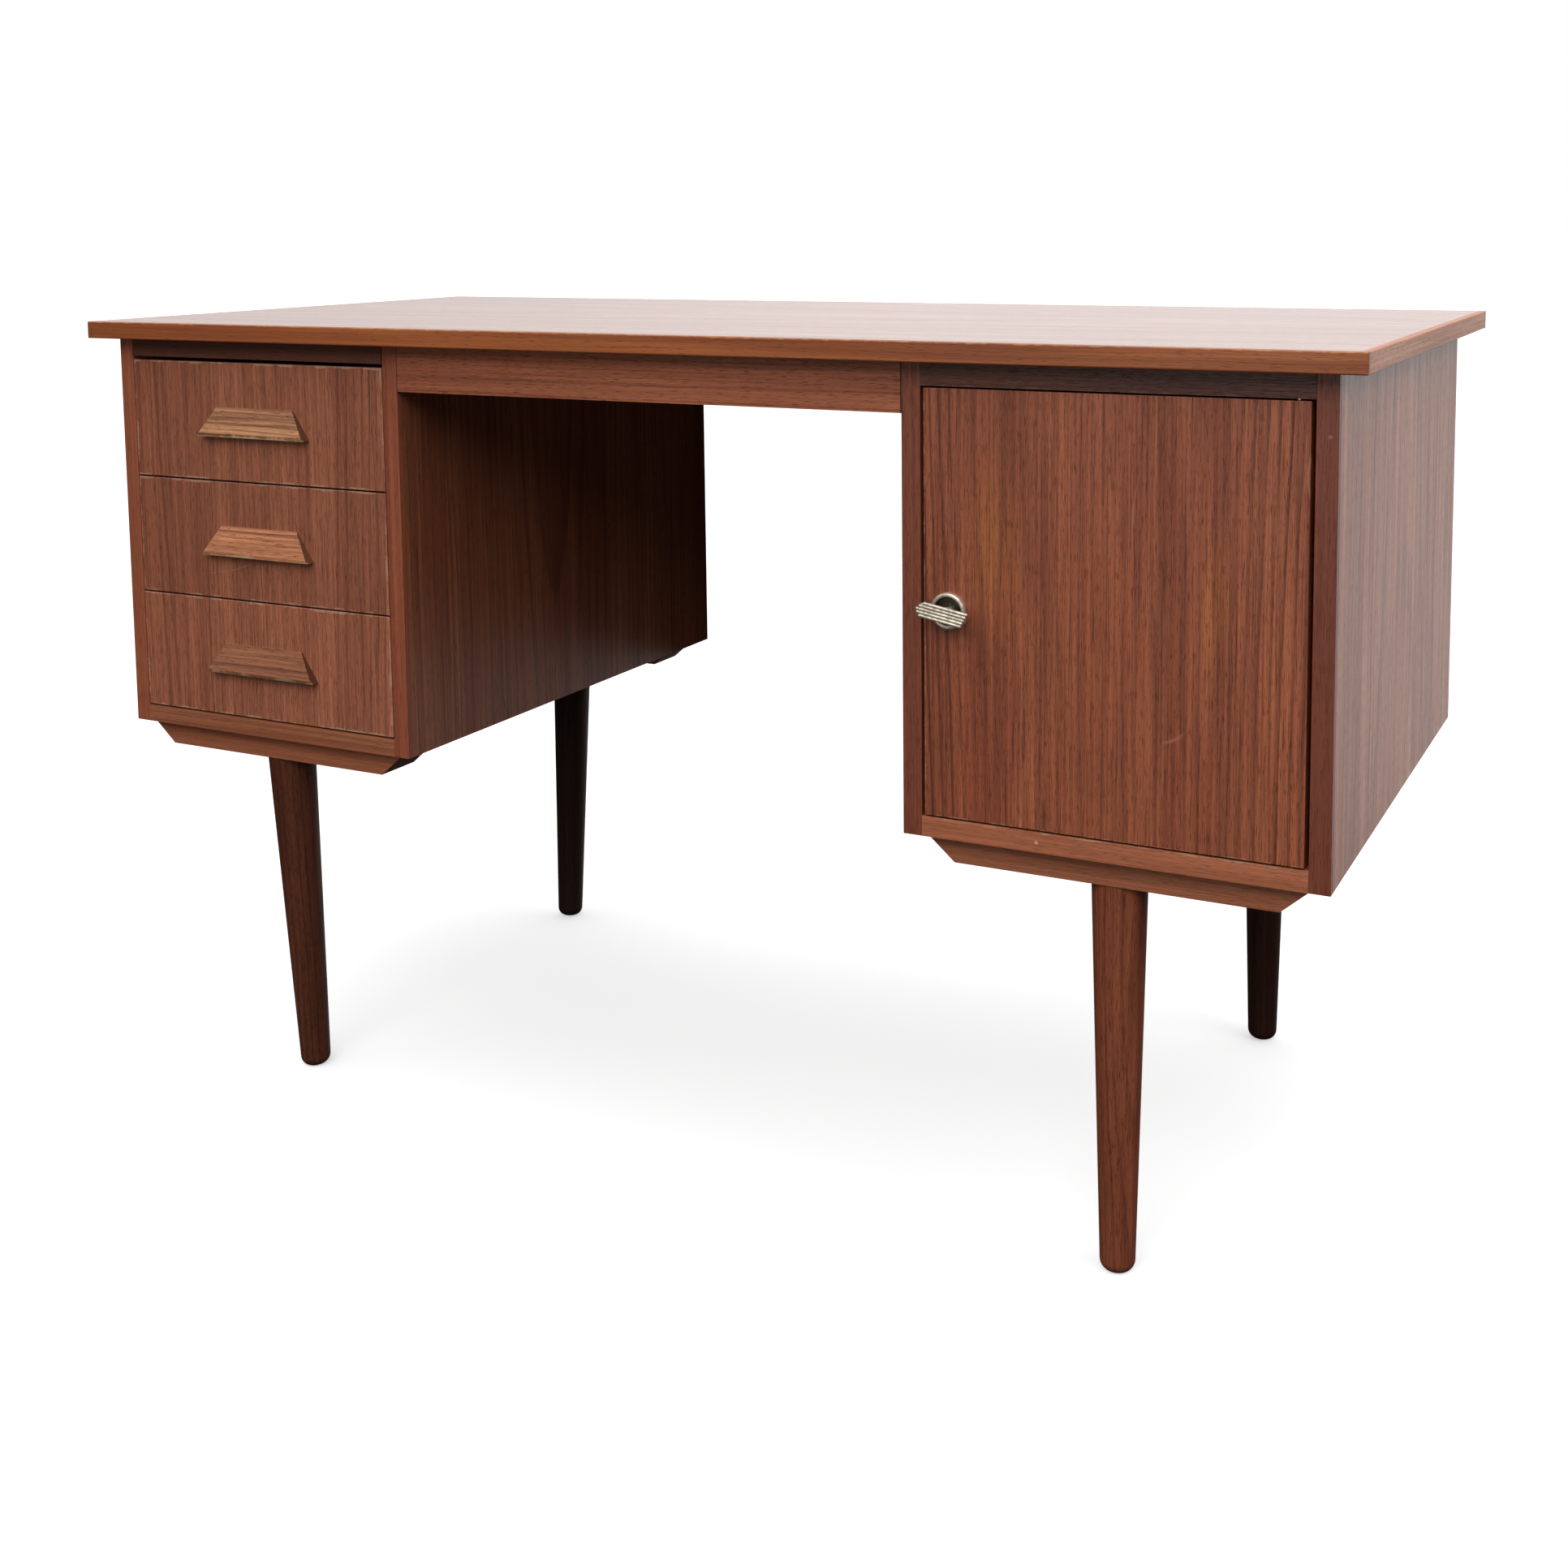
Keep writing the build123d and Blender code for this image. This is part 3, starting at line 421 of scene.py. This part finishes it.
def dress():
    """One finished material for every node."""
    door_low, door_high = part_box("door_panel")
    drawer_low, drawer_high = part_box("upper_drawer_front")
    door_middle = (door_low.x + door_high.x) / 2
    drawer_middle = (drawer_low.x + drawer_high.x) / 2
    rail_low, rail_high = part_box("right_bottom_panel")
    rail_hole = (rail_low.x + RAIL_HOLE_IN, rail_low.y, (rail_low.z + rail_high.z) / 2)
    strips_low, strips_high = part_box("side_front_lippings")
    lipping_hole = (strips_high.x - LIPPING_HOLE_IN, strips_low.y,
                    strips_high.z - LIPPING_HOLE_DOWN)
    looks = {
        "desktop_panel": teak("top_veneer", X, Y, 1, 0.9, 1.04, ring=0.009, centre=0.04, pith=0.05,
                              lines=0.45, flecks=0.9, rough=0.22, coat=0.6, scuffs=0.2),
        "desktop_front_lipping": teak("front_lipping", X, Z, 2, 0.87, 0.9, 0.64, fineness=0.7,
                                      ends=0.0, **worn_and_highlit("desktop_front_lipping", "z+"),
                                      **PLAIN),
        "desktop_rear_lipping": teak("rear_lipping", X, Z, 3, 1.0, **PLAIN),
        "desktop_end_lippings": teak("end_lippings", Y, Z, 4, 1.2, 1.15, **PLAIN),
        "door_panel": teak("door_veneer", Z, X, 5, 0.94, 0.88, 0.97,
                           centre=door_middle + DOOR_ARCHES, ring=0.0047, lines=1.0,
                           calm=0.1, sway=0.009, scuffs=0.35, bands=0.75, fibre=0.8,
                           dashes=0.6,
                           blotches=patches("door_panel", DOOR_PATCHES),
                           **worn_and_highlit("door_panel", "x- z-")),
        # The strips' low tone (0.50) is painted shade: it stays on the right pedestal, and the tint
        # lifts it on the left
        "side_front_lippings": teak("side_lippings", Z, X, 7, 0.50, 0.8, 1.08, dot=lipping_hole,
                                    paler=(DESK_MIDDLE, LEFT_STRIPS_LIFT_FROM_PAINTED_SHADE), **PLAIN),
        "kneehole_front_rail": teak("apron", X, Z, 8, 0.95, 0.94, lines=0.4, ring=0.006,
                                    seams=edges("kneehole_front_rail", "x- x+")),
        "kneehole_rear_rail": teak("rear_apron", X, Z, 9, 0.9, lines=0.5),
        "pedestal_rear_rails": teak("rear_rails", X, Z, 10, 0.9, lines=0.4),
        # Both top rails are toned dark (0.30): painted shade from the desktop's overhang
        "left_top_rail": teak("left_top_rail", X, Z, 11, 0.30, 1.0, 1.2,
                              seams=edges("left_top_rail", "x- x+"), **PLAIN),
        # The pale line along its lower front edge is a painted highlight, drawn with the edge-wear
        # mark
        "right_top_rail": teak("right_top_rail", X, Z, 12, 0.30, 0.95, 1.2,
                               **worn_and_highlit("right_top_rail", "z-"), **PLAIN),
        "left_bottom_panel": teak("left_bottom", X, Z, 13, 0.8, 1.03, **PLAIN),
        "right_bottom_panel": teak("right_bottom", X, Z, 14, 1.1, dot=rail_hole,
                                   **worn_and_highlit("right_bottom_panel", "z+"), **PLAIN),
        "left_front_batten": teak("left_front_batten", X, Z, 15, 0.9, **PLAIN),
        "right_front_batten": teak("right_front_batten", X, Z, 16, 0.9, **PLAIN),
        "left_rear_batten": teak("left_rear_batten", X, Z, 17, 0.8, **PLAIN),
        "right_rear_batten": teak("right_rear_batten", X, Z, 18, 0.8, **PLAIN),
        "left_outer_side": teak("left_outer_veneer", Z, Y, 19, 1.0, centre=0.05, lines=0.6,
                                scuffs=0.3),
        "left_inner_side": teak("left_inner_veneer", Z, Y, 20, 0.85, centre=-0.03, lines=0.6),
        "right_inner_side": teak("right_inner_veneer", Z, Y, 21, 0.9, centre=0.02, lines=0.6),
        "right_outer_side": teak("right_outer_veneer", Z, Y, 22, 1.05, centre=0.0, lines=0.6,
                                 rough=0.38, scuffs=0.3),
        "cupboard_shelf": teak("shelf_veneer", X, Y, 23, 0.95, lines=0.5),
    }
    for number, (level, tone, pull_tone, pull_warmth) in enumerate(DRAWER_TONES):
        front, pull = level + "_drawer_front", level + "_drawer_handle"
        looks[front] = teak(level + "_drawer_veneer", Z, X, 6, tone, 1.06, 1.14,
                            centre=drawer_middle + DRAWER_ARCHES, pith=0.03, lines=0.85,
                            ring=0.0045, calm=0.105, sway=0.006, scuffs=0.3, fibre=0.68,
                            dashes=0.4, bands=0.6, wear=0.0022, **worn_and_highlit(front, "x- x+ z- z+"))
        # The pulls' dark ends (ends=0.9) are real end grain, made strong enough to paint the shade
        # on their ends
        looks[pull] = teak(level + "_handle", X, Z, 30 + number, pull_tone, pull_warmth,
                           ring=0.004, lines=0.9, pith=0.03, fibre=0.85, fineness=0.8, ends=0.9,
                           wear=0.003, **worn_and_highlit(pull, "z-"))
    # The legs' low tones are painted shade, darkest on the rear legs
    for number, (corner, tone) in enumerate(LEG_TONES_WITH_PAINTED_SHADE):
        looks[corner + "_leg"] = teak(corner + "_leg", Z, X, 40 + number, tone, 0.9, centre=0.01,
                                      pith=0.04, lines=0.55, ring=0.006, rough=0.6,
                                      specular=0.25)
    beech = {axis: wood("beech_along_" + AXIS_NAMES[axis], axis, Z, *BEECH, 50 + axis,
                        lines=0.25, fibre=0.35, flecks=0.35)
             for axis in (X, Y)}
    ply = {axis: wood(name, axis, across, *PLYWOOD, 60, lines=0.4, ring=0.012, fibre=0.4,
                      flecks=0.3)
           for name, axis, across in (("backs_plywood", Z, X), ("bottoms_plywood", X, Y))}
    nickel = metal("nickel", **NICKEL)
    dull = metal("tarnished_plug", (0.17, 0.165, 0.125), (0.05, 0.05, 0.035), 0.40)
    brass = metal("brass_pins", (0.60, 0.44, 0.20), (0.34, 0.24, 0.11), 0.30)
    steel = metal("zinc_steel", (0.52, 0.52, 0.50), (0.33, 0.31, 0.28), 0.34)
    for name, node in NODES.items():
        if name in looks:
            look = looks[name]
        elif name.endswith(("_drawer_left_side", "_drawer_right_side")) or name == "drawer_runners":
            look = beech[Y]
        elif name.endswith("_drawer_back") or name == "door_stop":
            look = beech[X]
        elif name.endswith("_drawer_bottom"):
            look = ply[X]
        elif name.endswith("_back_panel"):
            look = ply[Z]
        elif name in ("key", "escutcheon"):
            look = nickel
        elif name == "lock_plug":
            look = dull
        elif name in ("hinge_pins", "hinge_bushes", "shelf_pins"):
            look = brass
        else:
            look = steel
        node.data.materials.clear()
        node.data.materials.append(look)
    make_ring(metal("nickel_ring", **NICKEL, bore=(lock_centre(), RING_BORE_RADIUS)))
    make_key(nickel)


# ---- lock ring and key --------------------------------------------------------------------
RING_BORE_RADIUS, PLUG_HOLE_RADIUS = 0.011, 0.0073
RING_FLOOR = 0.0008
DOME_STEPS = 10
KEY_TILT = math.radians(10.0)                   # the left end stands a little high
BOW_LENGTH, BOW_WIDTH, BOW_DEPTH = 0.043, 0.0125, 0.006
BAR_COUNT = 5
BAR_RADIUS = BOW_WIDTH / 9.0                    # over half their spacing, so that they merge
LEFT_STAGGER, RIGHT_STAGGER = 0.0007, 0.0009    # how the ends of the bars are cut back
PLATE_LENGTH, PLATE_WIDTH = BOW_LENGTH * 0.93, BOW_WIDTH * 0.92
PLATE_STEPS = 32
SHANK_RADIUS, COLLAR_RADIUS = 0.003, 0.0042
SHANK_IN_BOW = 0.002
SHANK_STEPS = 40
# Where the collar starts and ends, as shares of the way from the door's face to the bow
NECK_FROM, COLLAR_FROM, COLLAR_TO = 0.45, 0.55, 0.85
END_HOLE = 0.0002                               # radius left open where a turned end closes
ROUND_STEPS, BAR_STEPS, BAR_END_STEPS = 64, 20, 6
FIRST_END_STEP = 0.2                            # a bar's end starts off its axis by this step
SHARP_ANGLE = math.radians(38)


def turned(profile, steps=ROUND_STEPS, closed=True):
    """Vertices and faces of (radius, forward) points turned about a -Y axis at the origin."""
    vertices, faces = [], []
    for step in range(steps):
        angle = 2 * math.pi * step / steps
        vertices += [Vector((radius * math.cos(angle), -ahead, radius * math.sin(angle)))
                     for radius, ahead in profile]
    count = len(profile)
    for step in range(steps):
        here, there = step * count, (step + 1) % steps * count
        for k in range(count if closed else count - 1):
            after = (k + 1) % count
            faces.append((here + k, there + k, there + after, here + after))
    return vertices, faces


def bar(length, radius, steps=BAR_STEPS):
    """A rod along X with round ends, centred at the origin; the ends are closed by small caps."""
    profile = []
    for k in range(BAR_END_STEPS + 1):
        angle = math.pi / 2 * (k + FIRST_END_STEP) / (BAR_END_STEPS + FIRST_END_STEP)
        profile.append((radius * math.sin(angle), -length / 2 + radius - radius * math.cos(angle)))
    profile += [(r, -ahead) for r, ahead in reversed(profile)]
    vertices, faces = turned(profile, steps, closed=False)
    count = len(profile)
    faces.append(tuple(step * count for step in range(steps)))
    faces.append(tuple((step + 1) * count - 1 for step in reversed(range(steps))))
    return [Vector((-v.y, v.x, v.z)) for v in vertices], faces


def make_piece(name, parts, turn, body, node, material):
    """One object from several (vertices, faces) parts, moved by turn, standing for the node."""
    vertices, faces = [], []
    for part_vertices, part_faces in parts:
        start = len(vertices)
        vertices += [turn @ v for v in part_vertices]
        faces += [tuple(start + k for k in face) for face in part_faces]
    mesh = bpy.data.meshes.new(name)
    mesh.from_pydata(vertices, [], faces)
    mesh.materials.append(material)
    outward = bmesh.new()
    outward.from_mesh(mesh)
    bmesh.ops.recalc_face_normals(outward, faces=outward.faces)
    outward.to_mesh(mesh)
    outward.free()
    mesh.shade_smooth()
    mesh.set_sharp_from_angle(angle=SHARP_ANGLE)
    thing = bpy.data.objects.new(name, mesh)
    bpy.context.scene.collection.objects.link(thing)
    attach(thing, body)
    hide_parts(node)


def lock_centre():
    """The middle of the ring's back, on the door's face."""
    low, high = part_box("escutcheon")
    return Vector(((low.x + high.x) / 2, high.y, (low.z + high.z) / 2))


def make_ring(material):
    """Domed rim, deep bore and thin floor round the plug."""
    low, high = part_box("escutcheon")
    outer, proud = (high.x - low.x) / 2, high.y - low.y
    rim, dome = (outer + RING_BORE_RADIUS) / 2, (outer - RING_BORE_RADIUS) / 2
    profile = [(PLUG_HOLE_RADIUS, 0.0), (outer, 0.0), (outer, proud - dome)]
    for k in range(1, DOME_STEPS):
        angle = math.pi * k / DOME_STEPS
        profile.append((rim + dome * math.cos(angle), proud - dome + dome * math.sin(angle)))
    profile += [(RING_BORE_RADIUS, proud - dome), (RING_BORE_RADIUS, RING_FLOOR),
                (PLUG_HOLE_RADIUS, RING_FLOOR)]
    make_piece("lock_ring", [turned(profile)], Matrix.Translation(lock_centre()), "door",
               "escutcheon", material)


def make_key(material):
    """Five round bars side by side on a plate, a collar and the shank."""
    low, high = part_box("key")
    centre = lock_centre()
    pitch = BOW_WIDTH / BAR_COUNT
    near = centre.y - low.y - BAR_RADIUS
    parts = []
    for number in range(BAR_COUNT):
        up = BAR_COUNT // 2 - number
        left_short = LEFT_STAGGER * (up ** 2 + max(up, 0) * 2)
        right_short = RIGHT_STAGGER * number
        length = BOW_LENGTH - left_short - right_short
        middle = (left_short - right_short) / 2
        vertices, faces = bar(length, BAR_RADIUS)
        parts.append(([v + Vector((middle, -near, up * pitch)) for v in vertices], faces))
    plate, faces = bar(PLATE_LENGTH, PLATE_WIDTH / 2, steps=PLATE_STEPS)
    thickness = BOW_DEPTH - BAR_RADIUS
    thin = thickness / PLATE_WIDTH
    back = near - thickness / 2
    parts.append(([Vector((v.x, v.y * thin - back, v.z)) for v in plate], faces))
    under = near - thickness
    inside = centre.y - high.y
    profile = [(END_HOLE, inside), (SHANK_RADIUS, inside), (SHANK_RADIUS, under * NECK_FROM),
               (COLLAR_RADIUS, under * COLLAR_FROM), (COLLAR_RADIUS, under * COLLAR_TO),
               (SHANK_RADIUS, under), (SHANK_RADIUS, under + SHANK_IN_BOW),
               (END_HOLE, under + SHANK_IN_BOW)]
    parts.append(turned(profile, SHANK_STEPS))
    turn = Matrix.Translation(centre) @ Matrix.Rotation(KEY_TILT, 4, "Y")
    make_piece("key_detailed", parts, turn, "key", "key", material)


# ---- studio -------------------------------------------------------------------------------
FLOOR_REACH = 60.0
FLOOR_COLOURS = (0.80,) * 3, (0.84,) * 3
FLOOR_CLOUDS = 0.8                              # waves per metre
FLOOR_GLOW = 0.5
CARD_COLOUR = (0.01,) * 3
CARD_BEHIND = 0.002
WHITE = (1.0, 1.0, 1.0)

# The surroundings, by the height (Z) or the way to the back (Y) of a direction of length 1:
# where a glow starts and ends, and for the one overhead its light at both
OVERHEAD = (0.12, 0.95, 0.03, 1.35)
LOW_BEHIND_Y, LOW_BEHIND_Z = (0.72, 0.93), (-0.5, -0.25)
HIGH_BEHIND_Y, HIGH_BEHIND_Z = (0.1, 0.45), (-0.02, 0.03)
LOW_EXTRA, BEHIND_LIGHT = 0.2, 0.92

# Name, place, aim, width, height and watts
SOFTBOXES = (
    ("key_light", (0.6, -2.6, 2.4), (0.0, 0.0, 0.4), 2.4, 1.6, 29.0),
    ("front_fill", (0.3, -3.2, 0.7), (0.0, 0.0, 0.5), 2.4, 0.8, 9.5),
    ("side_light", (3.0, -0.2, 2.2), (0.4, 0.0, 0.4), 1.6, 1.6, 16.0),
)


def plane(name, corners, material):
    mesh = bpy.data.meshes.new(name)
    mesh.from_pydata(corners, [], [tuple(range(len(corners)))])
    mesh.materials.append(material)
    thing = bpy.data.objects.new(name, mesh)
    bpy.context.scene.collection.objects.link(thing)
    return thing


def softbox(name, place, aim, width, height, watts):
    data = bpy.data.lights.new(name, "AREA")
    data.shape, data.size, data.size_y, data.energy = "RECTANGLE", width, height, watts
    lamp = bpy.data.objects.new(name, data)
    lamp.location = place
    lamp.rotation_euler = (Vector(aim) - Vector(place)).to_track_quat("-Z", "Y").to_euler()
    bpy.context.scene.collection.objects.link(lamp)


def make_kneehole_flag():
    """Dark card across the back of the kneehole, unseen by the camera, that keeps it shaded."""
    material, s = new_material("flag")
    s.add("ShaderNodeOutputMaterial",
          {"Surface": s.add("ShaderNodeBsdfDiffuse", {"Color": CARD_COLOUR}).outputs[0]})
    rail_low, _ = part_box("kneehole_rear_rail")
    _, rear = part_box("left_inner_side")
    left, right = rear.x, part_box("right_inner_side")[0].x
    bottom, top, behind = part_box("left_front_batten")[0].z, rail_low.z, rear.y + CARD_BEHIND
    flag = plane("kneehole_flag", [(left, behind, bottom), (right, behind, bottom),
                                   (right, behind, top), (left, behind, top)], material)
    flag.visible_camera = False


def make_studio():
    """White floor, surroundings bright from above and behind, and three softboxes.

    The camera sees plain white; reflections also see the glow behind the desk.
    """
    scene = bpy.context.scene
    scene.view_settings.view_transform = "Standard"
    floor_material, s = new_material("studio_floor")
    place = s.add("ShaderNodeTexCoord").outputs["Object"]
    cloud = s.noise(place, (FLOOR_CLOUDS,) * 3, 2.0)
    diffuse = s.add("ShaderNodeBsdfDiffuse", {"Color": s.mix(cloud, *FLOOR_COLOURS)})
    glow = s.add("ShaderNodeEmission", {"Color": WHITE, "Strength": FLOOR_GLOW})
    both = s.add("ShaderNodeAddShader", {0: diffuse.outputs[0], 1: glow.outputs[0]})
    s.add("ShaderNodeOutputMaterial", {"Surface": both.outputs[0]})
    corners = [(-FLOOR_REACH, -FLOOR_REACH, 0), (FLOOR_REACH, -FLOOR_REACH, 0),
               (FLOOR_REACH, FLOOR_REACH, 0), (-FLOOR_REACH, FLOOR_REACH, 0)]
    floor = plane("floor", corners, floor_material)
    floor.visible_diffuse = floor.visible_glossy = False
    make_kneehole_flag()

    scene.world = bpy.data.worlds.new("studio")
    scene.world.use_nodes = True
    s = Shader(scene.world.node_tree)
    way = s.add("ShaderNodeSeparateXYZ", {0: s.add("ShaderNodeTexCoord").outputs["Generated"]})
    overhead = s.step(way.outputs[Z], *OVERHEAD)
    low_behind = s.times(s.step(way.outputs[Y], *LOW_BEHIND_Y),
                         s.step(way.outputs[Z], *LOW_BEHIND_Z))
    high_behind = s.times(s.step(way.outputs[Y], *HIGH_BEHIND_Y),
                          s.step(way.outputs[Z], *HIGH_BEHIND_Z))
    behind = s.plus(s.times(low_behind, LOW_EXTRA),
                    s.times(s.math("MAXIMUM", low_behind, high_behind), BEHIND_LIGHT))
    ray = s.add("ShaderNodeLightPath").outputs
    glossy = s.math("MAXIMUM", overhead, behind)
    lit = s.mix(ray["Is Glossy Ray"], overhead, glossy)
    colour = s.mix(ray["Is Camera Ray"], lit, WHITE)
    s.add("ShaderNodeOutputWorld",
          {"Surface": s.add("ShaderNodeBackground", {"Color": colour}).outputs[0]})
    for settings in SOFTBOXES:
        softbox(*settings)


make_camera()
dress()
make_studio()
